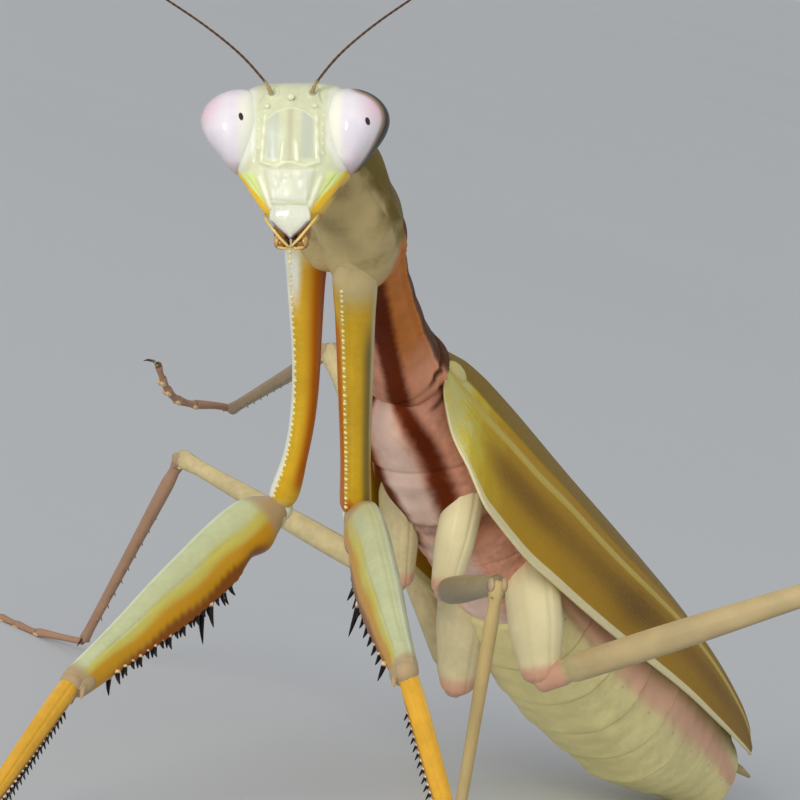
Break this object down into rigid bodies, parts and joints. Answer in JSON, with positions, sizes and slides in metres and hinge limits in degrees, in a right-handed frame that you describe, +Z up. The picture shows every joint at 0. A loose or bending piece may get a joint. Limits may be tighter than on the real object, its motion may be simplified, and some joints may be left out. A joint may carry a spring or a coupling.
{
  "type": "praying mantis",
  "caption": "Large female praying mantis standing with wings folded, one hind leg lifted, head turned to its left, raptorial forelegs reaching down to the ground.",
  "frame": {"origin": "middle of the bounding box, on the floor plane under the feet", "axes": "+Z up, the mantis faces -Y, its left side is +X"},
  "size_m": [0.0792, 0.0858, 0.0569],
  "materials": {
    "cream_cuticle": "satin",
    "golden_cuticle": "satin",
    "eye": "glossy",
    "brown_cuticle": "satin",
    "pink_cuticle": "satin",
    "wing": "satin",
    "tan_cuticle": "satin"
  },
  "bodies": {
    "root": {"abdomen": "cream_cuticle", "antenna_left": "brown_cuticle", "antenna_right": "brown_cuticle", "eye_left": "eye", "eye_right": "eye", "fore_coxa_left": "golden_cuticle", "fore_coxa_right": "golden_cuticle", "fore_femur_left": "cream_cuticle", "fore_femur_right": "cream_cuticle", "fore_tarsus_left": "golden_cuticle", "fore_tarsus_right": "golden_cuticle", "fore_tibia_left": "golden_cuticle", "fore_tibia_right": "golden_cuticle", "head": "cream_cuticle", "hind_coxa_left": "cream_cuticle", "hind_coxa_right": "cream_cuticle", "hind_femur_left": "tan_cuticle", "hind_femur_right": "tan_cuticle", "hind_tarsus_left": "tan_cuticle", "hind_tarsus_right": "tan_cuticle", "hind_tibia_left": "tan_cuticle", "hind_tibia_right": "tan_cuticle", "mid_coxa_left": "cream_cuticle", "mid_coxa_right": "cream_cuticle", "mid_femur_left": "tan_cuticle", "mid_femur_right": "tan_cuticle", "mid_tarsus_left": "brown_cuticle", "mid_tarsus_right": "brown_cuticle", "mid_tibia_left": "brown_cuticle", "mid_tibia_right": "brown_cuticle", "mouthparts": "golden_cuticle", "neck": "cream_cuticle", "prothorax": "brown_cuticle", "pterothorax": "pink_cuticle", "wing_left": "wing", "wing_right": "wing"}
  },
  "joints": []
}
